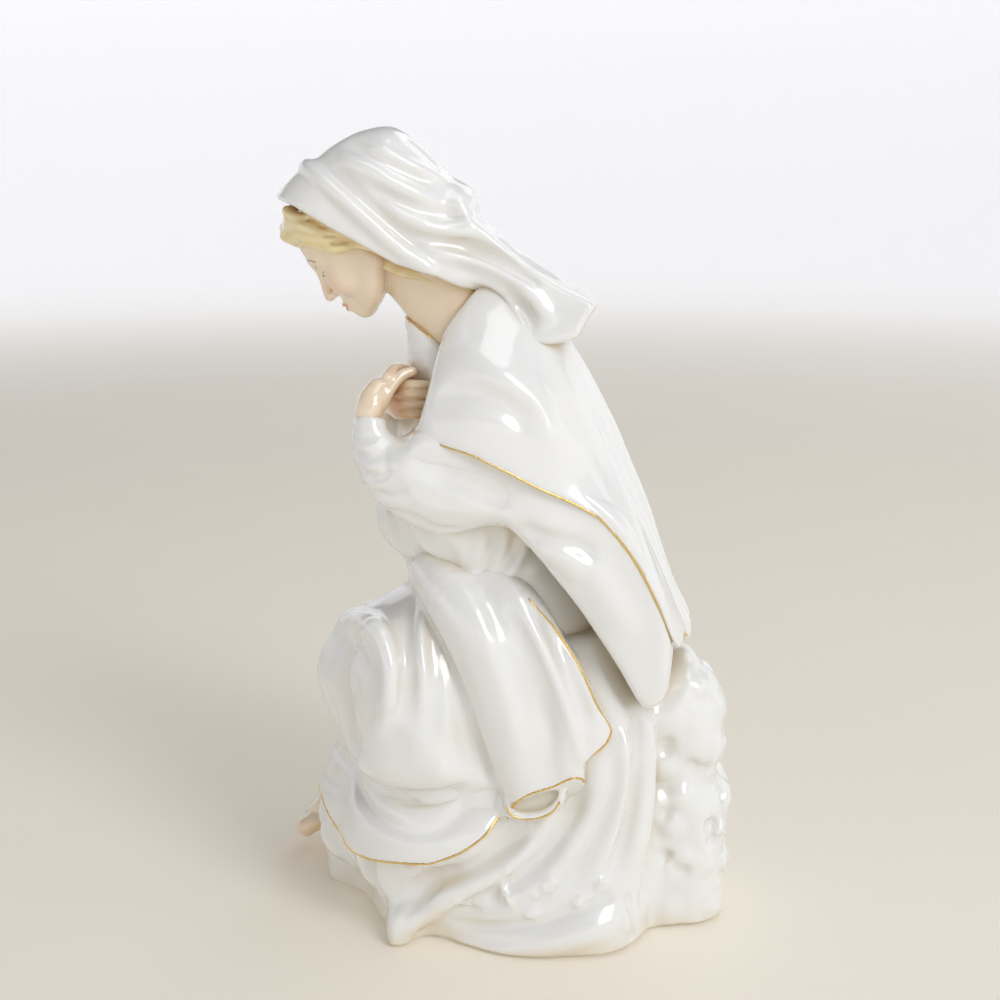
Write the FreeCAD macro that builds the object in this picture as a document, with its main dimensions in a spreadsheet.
"""Kneeling madonna figurine in white glazed porcelain, modelled as its separate slip castings.

The figure sits back on a rock, looks down along -Y and has her left side on +X.  Millimetres,
+Z up, origin on the resting plane under the middle of the body.  The castings are luted together
with slip before firing, so neighbouring pieces meet face to face and nothing moves.
"""

import FreeCAD
import Part
import Sketcher

import math
import os

WALL = "dims.wall"
doc = FreeCAD.newDocument("madonna_figurine")
sheet = doc.addObject("Spreadsheet::Sheet", "dims")
sub_parts = []

# Driving dimensions.  One row per alias, in millimetres or degrees.
DIMENSIONS = {
    "wall": 3.0,
    "floor_thickness": 3.0,
    "vent_radius": 4.0,
    "vent_back": 12.0,
    "rock_vent_radius": 2.5,
    "rock_vent_back": 46.0,
    "waist_vent_radius": 5.0,
    "vent_reach": 12.0,
    "gild_radius": 0.5,
    "cloth": 2.5,
    "head_height": 31.0,
    "head_width": 21.0,
    "head_depth": 26.0,
    "head_tilt": 41.0,
    "head_y": -38.5,
    "head_z": 171.5,
    "hair_thickness": 1.6,
    "neck_radius": 7.0,
    "jaw_forward": 5.0,
    "jaw_drop": 7.5,
    "veil_pitch": -24.0,
    "foot_lift": 0.3,
    "elbow_radius": 6.0,
    "wrist_radius": 4.6,
    "palm_length": 11.0,
    "palm_width": 9.0,
    "palm_thickness": 4.6,
    "finger_radius": 1.25,
    "finger_length": 9.0,
    "mantle_reach": 45.0,
    "sleeve_inner": 19.0,
    "sleeve_thickness": 10.0,
    "lap_inner": 20.0,
    "lap_thickness": 13.5,
}

# Horizontal sections of the lofted castings: height, front, back and half width.
SECTIONS = {
    "skirt": [
        ("hem", 3, -50, 38, 34),
        ("shin", 28, -46, 36, 31),
        ("knee", 54, -48, 34, 29),
        ("thigh", 76, -40, 32, 25),
        ("lap", 87, -24, 28, 20),
    ],
    "drape": [
        ("hem", 28, -51, 22, 34),
        ("knee", 54, -52, 24, 32),
        ("thigh", 77, -43, 24, 28),
        ("lap", 90, -27, 22, 22),
    ],
    "torso": [
        ("waist", 90, -28, 26, 20),
        ("ribs", 106, -33, 24, 22),
        ("chest", 134, -24, 13, 23),
        ("shoulder", 150, -20, 4, 18),
        ("collar", 158, -17, 0, 10),
    ],
    "mantle": [
        ("hem", 70, -4, 44, 29),
        ("waist", 97, -16, 35, 31),
        ("ribs", 118, -24, 28, 30),
        ("chest", 139, -22, 19, 28),
        ("shoulder", 155, -17, 9, 21),
        ("collar", 162, -12, 3, 12),
    ],
    "rock": [
        ("foot", 3, 16, 53, 22),
        ("lower", 22, 18, 57, 23),
        ("waist", 38, 20, 53, 20),
        ("upper", 52, 20, 55, 21),
        ("saddle", 66, 22, 48, 17),
        ("top", 72, 26, 40, 10),
    ],
}

# Sections across the veil, square to its sloping axis: place along the axis, half width, half height.
VEIL = [
    ("brow", 0, 12, 12),
    ("crown", 13, 18, 27),
    ("nape", 26, 19, 25),
    ("gather", 40, 17, 19),
    ("shoulder", 56, 15.5, 13),
    ("tail", 75, 15, 10),
]
VEIL_BROW = (-54, 178)

# Upright sections of the foot: place along Y, half width, half height.
FOOT = [
    ("ankle", -34, 6, 5.9),
    ("instep", -46, 6.2, 5),
    ("ball", -54, 6.5, 3.6),
    ("toes", -61, 5.2, 2.2),
]
FOOT_X = -24

# Heights at which the vent tools start: below the floor, and inside the top of the skirt.
FLOOR_VENT_START = -3
WAIST_VENT_START = 82

# Elbow and wrist of the left arm; the right arm mirrors them.
ELBOW = (21, -19, 113)
WRIST = (16, -36, 127)

# Each hand: wrist, knuckles, fingertips and the direction the fingers lie side by side in.
LEFT_HAND = ((15.5, -37.5, 128.5), (12, -35, 139), (3, -29, 141), (1, 0.3, 0))
RIGHT_HAND = ((-12, -34, 128.5), (-3, -30, 133), (12, -27.5, 135), (0, 0, 1))

# The neck runs from between the shoulders up into the skull.
NECK_FOOT = (0, -10, 148)
NECK_TOP = (0, -31, 166)

# The block that opens the hair over the face: its middle in the head's own axes, and its size.
FACE_OPENING_FORWARD = 14
FACE_OPENING_UP = -7
FACE_OPENING_SIZE = (40, 24, 30)

# The block that cuts the underside off the veil: size, and corner measured from the brow.
VEIL_CUT_SIZE = (80, 160, 60)
VEIL_CUT_CORNER = (-40, -30, -60)

# The neckline as seen from the front: places along X, height in the middle, and how fast it rises.
NECKLINE_X = (-9, -5, 0, 5, 9)
NECKLINE_HEIGHT = 151
NECKLINE_RISE = 0.03

# Far enough outside the figure to look at its surface from there.
OUTSIDE = 80

# Outlines in the side view, as (y, z).
MANTLE_HEM = [(-26, 129), (-10, 125.5), (5, 118.5), (19, 110.5), (29, 97), (37, 78)]
MANTLE_GILD = [(y, z + 1.0) for y, z in MANTLE_HEM[1:]]
MANTLE_ABOVE_HEM = MANTLE_HEM + [(50, 60), (70, 60), (70, 180), (-30, 180)]
SLEEVE = [(-27, 127), (-10, 125), (5, 118), (19, 110), (29, 96), (38, 75), (33, 63), (22, 76),
          (9, 95), (-3, 104), (-16, 106), (-27, 114)]
LAP = [(-26, 92), (-11, 101), (3, 93), (14, 80), (22, 65), (19, 55), (10, 48), (-3, 46), (-8, 70)]
DRAPE_GILD = [(-47, 31), (-38, 29), (-26, 29), (-14, 33), (-4, 42)]
LAP_GILD = [(-2, 96), (8, 87), (16, 76), (21, 66), (19, 57), (12, 50), (0, 47)]


def fill_sheet():
    """Writes every driving dimension to the sheet, each with its alias."""
    rows = list(DIMENSIONS.items())
    for part, sections in SECTIONS.items():
        for name, height, front, back, half in sections:
            stem = f"{part}_{name}"
            rows += [(f"{stem}_height", height), (f"{stem}_front", front)]
            rows += [(f"{stem}_back", back), (f"{stem}_half", half)]
    for part, sections in (("veil", VEIL), ("foot", FOOT)):
        for name, along, half_width, half_height in sections:
            stem = f"{part}_{name}"
            rows += [(f"{stem}_along", along), (f"{stem}_half", half_width), (f"{stem}_rise", half_height)]
    for row, (alias, value) in enumerate(rows, start=1):
        sheet.set(f"A{row}", alias)
        sheet.set(f"B{row}", str(value))
        sheet.setAlias(f"B{row}", alias)
    doc.recompute()


def value(alias):
    return float(sheet.get(alias))


def bind(obj, **expressions):
    """Binds properties to the sheet; __ in a keyword stands for a dot in the property's path."""
    for path, expression in expressions.items():
        obj.setExpression(path.replace("__", "."), expression)
    return obj


def feature(kind, name, **expressions):
    return bind(doc.addObject(kind, name), **expressions)


def finish(obj, label):
    """Names the object as a finished sub-part."""
    obj.Label = label
    sub_parts.append(obj)
    return obj


def cut(name, base, *tools):
    """base with every tool taken away, one boolean for each tool."""
    for number, tool in enumerate(tools):
        result = doc.addObject("Part::Cut", f"{name}_{number}")
        result.Base = base
        result.Tool = tool
        base = result
    return base


def common(name, base, tool):
    result = doc.addObject("Part::Common", name)
    result.Base = base
    result.Tool = tool
    return result


def fuse(name, *shapes):
    result = doc.addObject("Part::MultiFuse", name)
    result.Shapes = list(shapes)
    return result


def flat_section(part, name, inset="0"):
    """One horizontal ellipse of a casting, drawn inset from its outline."""
    stem = f"dims.{part}_{name}"
    along = f"({stem}_back - {stem}_front) / 2 - {inset}"
    across = f"{stem}_half - {inset}"
    depth = value(f"{part}_{name}_back") - value(f"{part}_{name}_front")
    longer = depth >= 2 * value(f"{part}_{name}_half")
    ellipse = feature("Part::Ellipse", f"{part}_{name}")
    ellipse.Placement.Rotation = FreeCAD.Rotation(FreeCAD.Vector(0, 0, 1), 90 if longer else 0)
    major, minor = (along, across) if longer else (across, along)
    return bind(ellipse, MajorRadius=major, MinorRadius=minor,
                Placement__Base__y=f"({stem}_front + {stem}_back) / 2", Placement__Base__z=f"{stem}_height")


def loft(name, sections):
    result = doc.addObject("Part::Loft", name)
    result.Sections = sections
    result.Solid = True
    return result


def casting_loft(part, inset=None):
    """The outside of a casting, or with an inset the hollow inside it."""
    sections = [flat_section(part, row[0], inset or "0") for row in SECTIONS[part]]
    if inset:
        bind(sections[-1], Placement__Base__z=f"dims.{part}_{SECTIONS[part][-1][0]}_height - {inset}")
    return loft(f"{part}_{'hollow' if inset else 'outside'}", sections)


def base_ellipse_plate(part):
    """The floor under one casting, as thick as the sheet says."""
    stem = f"{part}_{SECTIONS[part][0][0]}"
    lower = flat_section(part, SECTIONS[part][0][0])
    upper = flat_section(part, SECTIONS[part][0][0])
    lower.setExpression("Placement.Base.z", f"dims.{stem}_height - dims.floor_thickness")
    return loft(f"{part}_floor", [lower, upper])


def upright(name, radius, back, start):
    """A round upright hole tool at the named distance behind the origin."""
    return feature("Part::Cylinder", name, Radius=f"dims.{radius}", Height="dims.vent_reach",
                   Placement__Base__y=f"dims.{back}", Placement__Base__z=str(start))


def make_floor():
    """The flat floor that closes both hollows, with their kiln vents."""
    plates = fuse("floor_plates", base_ellipse_plate("skirt"), base_ellipse_plate("rock"))
    kiln_vent = upright("kiln_vent", "vent_radius", "vent_back", FLOOR_VENT_START)
    rock_vent = upright("rock_vent", "rock_vent_radius", "rock_vent_back", FLOOR_VENT_START)
    return finish(cut("floor", plates, kiln_vent, rock_vent), "base_floor")


def outline_pad(name, points, start, length, smooth=True):
    """A closed side-view outline of (y, z) points, padded along +X from the place named by start."""
    body = doc.addObject("PartDesign::Body", name)
    sketch = body.newObject("Sketcher::SketchObject", f"{name}_outline")
    plane = [item for item in body.Origin.OriginFeatures if item.Role == "YZ_Plane"][0]
    sketch.AttachmentSupport = [(plane, "")]
    sketch.MapMode = "FlatFace"
    sketch.setExpression("AttachmentOffset.Base.z", start)
    corners = [FreeCAD.Vector(y, z, 0) for y, z in points]
    if smooth:
        curve = Part.BSplineCurve()
        curve.interpolate(corners, PeriodicFlag=True)
        sketch.addGeometry(curve, False)
    else:
        for corner, following in zip(corners, corners[1:] + corners[:1]):
            sketch.addGeometry(Part.LineSegment(corner, following), False)
        for number in range(len(corners)):
            following = (number + 1) % len(corners)
            sketch.addConstraint(Sketcher.Constraint("Coincident", number, 2, following, 1))
    pad = body.newObject("PartDesign::Pad", f"{name}_pad")
    pad.Profile = sketch
    pad.setExpression("Length", length)
    body.Tip = pad
    return body


def between(obj, start, end):
    """Places a round primitive on start with its axis towards end."""
    direction = FreeCAD.Vector(*end) - FreeCAD.Vector(*start)
    turn = FreeCAD.Rotation(FreeCAD.Vector(0, 0, 1), direction)
    obj.Placement = FreeCAD.Placement(FreeCAD.Vector(*start), turn)
    return direction.Length


def head_frame(forward, up):
    """A point of the tilted head, forward of and above its middle, as (y, z)."""
    tilt = math.radians(value("head_tilt"))
    y = value("head_y") - up * math.sin(tilt) - forward * math.cos(tilt)
    z = value("head_z") + up * math.cos(tilt) - forward * math.sin(tilt)
    return y, z


def head_ellipsoid(name, forward, up, high, wide, deep):
    """An ellipsoid that leans with the head; the sizes are expressions of its semi-axes."""
    y, z = head_frame(forward, up)
    shape = feature("Part::Ellipsoid", name, Radius1=high, Radius2=wide, Radius3=deep)
    turn = FreeCAD.Rotation(FreeCAD.Vector(1, 0, 0), value("head_tilt"))
    shape.Placement = FreeCAD.Placement(FreeCAD.Vector(0, y, z), turn)
    shape.setExpression("Placement.Rotation.Angle", "dims.head_tilt")
    return shape


def head_box(name, forward, up, size):
    """A block that leans with the head, centred on a point forward of and above its middle."""
    y, z = head_frame(forward, up)
    box = doc.addObject("Part::Box", name)
    box.Length, box.Width, box.Height = size
    turn = FreeCAD.Rotation(FreeCAD.Vector(1, 0, 0), value("head_tilt"))
    centre = turn.multVec(FreeCAD.Vector(*size) * 0.5)
    box.Placement = FreeCAD.Placement(FreeCAD.Vector(0, y, z) - centre, turn)
    return box


def veil_loft(name, inset):
    """The veil's outside, or with an inset its inside, along its sloping axis."""
    pitch = value("veil_pitch")
    turn = FreeCAD.Rotation(FreeCAD.Vector(1, 0, 0), pitch - 90)
    sections = []
    for row in VEIL:
        stem = f"dims.veil_{row[0]}"
        half, rise, along = f"{stem}_half - {inset}", f"{stem}_rise - {inset}", f"{stem}_along"
        tall = row[3] > row[2]
        quarter = FreeCAD.Rotation(FreeCAD.Vector(0, 0, 1), 90 if tall else 0)
        ellipse = feature("Part::Ellipse", f"{name}_{row[0]}")
        ellipse.Placement.Rotation = turn.multiply(quarter)
        major, minor = (rise, half) if tall else (half, rise)
        bind(ellipse, MajorRadius=major, MinorRadius=minor,
             Placement__Base__y=f"{VEIL_BROW[0]} + {along} * cos(dims.veil_pitch * 1 deg)",
             Placement__Base__z=f"{VEIL_BROW[1]} + {along} * sin(dims.veil_pitch * 1 deg)")
        sections.append(ellipse)
    return loft(name, sections)


def hand(name, wrist, knuckle, tip, across):
    """A flat palm from wrist to knuckle with four straight fingers on towards tip."""
    middle = (FreeCAD.Vector(*wrist) + FreeCAD.Vector(*knuckle)) * 0.5
    palm = feature("Part::Ellipsoid", f"{name}_palm", Radius1="dims.palm_length / 2 + 1.5",
                   Radius2="dims.palm_thickness / 2", Radius3="dims.palm_width / 2")
    along = (FreeCAD.Vector(*knuckle) - FreeCAD.Vector(*wrist)).normalize()
    spread = FreeCAD.Vector(*across)
    spread = (spread - along * spread.dot(along)).normalize()
    turn = FreeCAD.Rotation(spread.cross(along), spread, along, "ZYX")
    palm.Placement = FreeCAD.Placement(middle, turn)
    pieces = [palm]
    for number in range(4):
        shift = spread * ((number - 1.5) * 1.8 * value("finger_radius"))
        root = FreeCAD.Vector(*knuckle) - along * 2.0 + shift
        finger = feature("Part::Cylinder", f"{name}_finger_{number}", Radius="dims.finger_radius",
                         Height="dims.finger_length")
        end = FreeCAD.Vector(*tip) + shift
        between(finger, root, end)
        nail = feature("Part::Sphere", f"{name}_tip_{number}", Radius="dims.finger_radius")
        nail.Placement.Base = root + (end - root).normalize() * value("finger_length")
        pieces += [finger, nail]
    return fuse(f"{name}_pieces", *pieces)


def forearm(name, side):
    """The undersleeve from elbow to wrist; side is 1 for her left and -1 for her right."""
    cone = feature("Part::Cone", name, Radius1="dims.elbow_radius", Radius2="dims.wrist_radius")
    elbow, wrist = ((side * x, y, z) for x, y, z in (ELBOW, WRIST))
    cone.Height = between(cone, elbow, wrist)
    return cone


def on_surface(shape, start, end):
    """The first point of shape on the way from start to end."""
    origin = FreeCAD.Vector(*start)
    inside = shape.common(Part.makeLine(origin, FreeCAD.Vector(*end)))
    return min((corner.Point for corner in inside.Vertexes), key=origin.distanceToPoint)


def gilding(name, points):
    """A raised gold line along points that already lie on the glaze."""
    curve = Part.BSplineCurve()
    curve.interpolate(points)
    path = doc.addObject("Part::Feature", f"{name}_path")
    path.Shape = curve.toShape()
    ring = feature("Part::Circle", f"{name}_ring", Radius="dims.gild_radius")
    start, tangent = points[0], curve.tangent(curve.FirstParameter)[0]
    turn = FreeCAD.Rotation(FreeCAD.Vector(0, 0, 1), tangent)
    ring.Placement = FreeCAD.Placement(start, turn)
    line = doc.addObject("Part::Sweep", name)
    line.Sections = [ring]
    line.Spine = (path, ["Edge1"])
    line.Solid = True
    line.Frenet = False
    return line


def side_points(shape, outline, side):
    """The outline's (y, z) points laid on shape from her left (1) or right (-1)."""
    return [on_surface(shape, (side * OUTSIDE, y, z), (0, y, z)) for y, z in outline]


def neckline_points(shape):
    """The neckline laid on shape from the front."""
    heights = [NECKLINE_HEIGHT + NECKLINE_RISE * x * x for x in NECKLINE_X]
    return [on_surface(shape, (x, -OUTSIDE, z), (x, 0, z)) for x, z in zip(NECKLINE_X, heights)]


def foot_loft():
    """The foot from ankle to toes, as a loft of upright ellipses."""
    sections = []
    for name, *_ in FOOT:
        ellipse = feature("Part::Ellipse", f"foot_{name}")
        ellipse.Placement.Rotation = FreeCAD.Rotation(FreeCAD.Vector(1, 0, 0), 90)
        ellipse.Placement.Base.x = FOOT_X
        stem = f"dims.foot_{name}"
        bind(ellipse, MajorRadius=f"{stem}_half", MinorRadius=f"{stem}_rise",
             Placement__Base__y=f"{stem}_along", Placement__Base__z=f"{stem}_rise + dims.foot_lift")
        sections.append(ellipse)
    return loft("foot", sections)


def make_lower_body():
    """Skirt, knee drape, floor, rock seat and the bare foot."""
    make_floor()
    skirt = casting_loft("skirt")
    drape = casting_loft("drape")
    rock = casting_loft("rock")
    waist_vent = upright("waist_vent", "waist_vent_radius", "vent_back", WAIST_VENT_START)
    finish(cut("skirt", skirt, casting_loft("skirt", WALL), waist_vent), "skirt_shell")
    finish(cut("drape_trim", drape, skirt, waist_vent), "knee_drape")
    finish(cut("bare_foot", foot_loft(), skirt, drape), "right_foot")
    return skirt, drape, rock


def make_upper_body(skirt, drape, rock):
    """Torso, mantle, sleeves and lap drape, each trimmed where it meets its neighbour."""
    torso = casting_loft("torso")
    finish(cut("torso", torso, casting_loft("torso", WALL)), "torso_shell")
    mantle_region = outline_pad("mantle_region", MANTLE_ABOVE_HEM, "-dims.mantle_reach",
                                "2 * dims.mantle_reach", smooth=False)
    mantle = common("mantle_over_hem", casting_loft("mantle"), mantle_region)
    finish(cut("back_mantle", mantle, torso, skirt, drape), "back_mantle")
    finish(cut("rock_trim", rock, casting_loft("rock", WALL), skirt, drape, mantle), "rock_seat")
    left = outline_pad("left_sleeve_pad", SLEEVE, "dims.sleeve_inner", "dims.sleeve_thickness")
    right = outline_pad("right_sleeve_pad", SLEEVE, "-dims.sleeve_inner - dims.sleeve_thickness",
                        "dims.sleeve_thickness")
    sleeves = [finish(cut(f"{side}_sleeve", pad, torso, mantle, skirt, drape, rock), f"{side}_sleeve")
               for side, pad in (("left", left), ("right", right))]
    lap = outline_pad("lap_pad", LAP, "dims.lap_inner", "dims.lap_thickness")
    finish(cut("lap_drape", lap, skirt, drape, torso, mantle, sleeves[0]), "lap_drape")
    return torso, mantle, sleeves


def make_arms(torso, mantle, sleeves):
    """Undersleeves and crossed hands on the breast."""
    for side, name, sleeve in ((1, "left", sleeves[0]), (-1, "right", sleeves[1])):
        finish(cut(f"{name}_forearm", forearm(f"{name}_undersleeve", side), torso, mantle, sleeve),
               f"{name}_forearm")
    left = hand("left_hand", *LEFT_HAND)
    right = hand("right_hand", *RIGHT_HAND)
    arms = [item for item in sub_parts if item.Label.endswith("forearm")]
    finish(cut("left_hand_trim", left, right, *arms), "left_hand")
    finish(cut("right_hand_trim", right, torso, mantle, *arms), "right_hand")


def make_head(torso, mantle):
    """Neck, head, hair and veil."""
    skull = head_ellipsoid("skull", 0, 1.5, "dims.head_height * 0.45", "dims.head_width / 2",
                           "dims.head_depth / 2")
    jaw = head_ellipsoid("jaw", value("jaw_forward"), -value("jaw_drop"), "dims.head_height * 0.27",
                         "dims.head_width * 0.36", "dims.head_depth * 0.3")
    head = finish(fuse("head_pieces", skull, jaw), "head")
    throat = feature("Part::Cone", "throat", Radius1="dims.neck_radius * 1.15",
                     Radius2="dims.neck_radius")
    throat.Height = between(throat, NECK_FOOT, NECK_TOP)
    finish(cut("neck_trim", throat, torso, mantle, head), "neck")
    grow = "dims.hair_thickness"
    cap = head_ellipsoid("hair_cap", 0, 1.5, f"dims.head_height * 0.45 + {grow}",
                         f"dims.head_width / 2 + {grow}", f"dims.head_depth / 2 + {grow}")
    face = head_box("face_opening", FACE_OPENING_FORWARD, FACE_OPENING_UP, FACE_OPENING_SIZE)
    finish(cut("hair_trim", cap, head, face, throat), "hair")
    outside, inside = veil_loft("veil_outside", "0"), veil_loft("veil_inside", "dims.cloth")
    below = doc.addObject("Part::Box", "below_veil")
    below.Length, below.Width, below.Height = VEIL_CUT_SIZE
    turn = FreeCAD.Rotation(FreeCAD.Vector(1, 0, 0), value("veil_pitch"))
    corner = turn.multVec(FreeCAD.Vector(*VEIL_CUT_CORNER))
    below.Placement = FreeCAD.Placement(FreeCAD.Vector(0, *VEIL_BROW) + corner, turn)
    finish(cut("veil_trim", outside, inside, below, cap, torso, mantle), "veil")


def make_gilding(torso, mantle, drape):
    """The fired gold lines on the hems and the neckline."""
    lap = [item for item in sub_parts if item.Label == "lap_drape"][0]
    lines = {
        "mantle_gilding": [gilding(f"mantle_line_{side}", side_points(mantle.Shape, MANTLE_GILD, side))
                           for side in (1, -1)],
        "skirt_gilding": [gilding(f"skirt_line_{side}", side_points(drape.Shape, DRAPE_GILD, side))
                          for side in (1, -1)],
        "lap_gilding": [gilding("lap_line", side_points(lap.Shape, LAP_GILD, 1))],
        "neckline_gilding": [gilding("neck_line", neckline_points(torso.Shape))],
    }
    for label, made in lines.items():
        finish(made[0] if len(made) == 1 else fuse(label, *made), label)


def export():
    """Checks every object of the document, then writes one file for each sub-part."""
    doc.recompute()
    for item in doc.Objects:
        if "Invalid" in item.State or "Error" in item.State:
            raise RuntimeError(f"{item.Name} failed: {item.State}")
    os.makedirs("parts", exist_ok=True)
    for item in sub_parts:
        shape = item.Shape
        if shape.isNull() or not shape.isValid() or not shape.Solids:
            raise RuntimeError(f"{item.Label} has no valid solid")
        shape.exportStep(f"parts/{item.Label}.step")
        print(f"{item.Label:18s} solids {len(shape.Solids)} volume {shape.Volume:9.1f} mm3")


fill_sheet()
skirt, drape, rock = make_lower_body()
torso, mantle, sleeves = make_upper_body(skirt, drape, rock)
make_arms(torso, mantle, sleeves)
make_head(torso, mantle)
doc.recompute()
make_gilding(torso, mantle, drape)
export()
